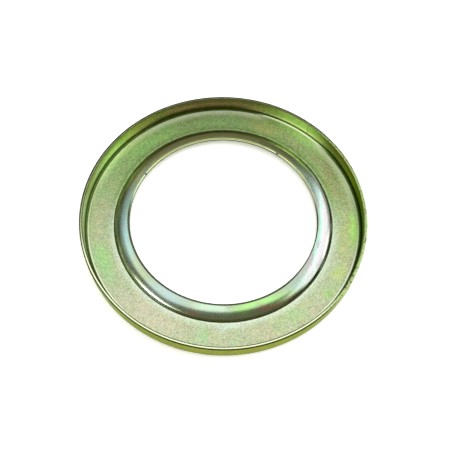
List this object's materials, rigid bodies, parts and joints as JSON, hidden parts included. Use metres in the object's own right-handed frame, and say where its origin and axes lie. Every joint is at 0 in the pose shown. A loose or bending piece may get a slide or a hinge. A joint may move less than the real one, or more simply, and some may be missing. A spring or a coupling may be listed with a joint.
{
  "type": "wiper seal",
  "caption": "Pressed steel wiper seal ring with an upright outer wall, a flat web and a domed lip round the shaft bore, plated in iridescent green-gold zinc.",
  "frame": {"origin": "on the ring's axis, in the plane of the web's back face", "axes": "+Z along the ring's axis, towards the open side of the cup; X and Y are free, because the ring is round"},
  "size_m": [0.1, 0.1, 0.0072],
  "materials": {
    "plated_steel": "satin zinc plating with an iridescent green and gold passivated film"
  },
  "bodies": {
    "root": {"wiper_ring": "plated_steel"}
  },
  "joints": []
}
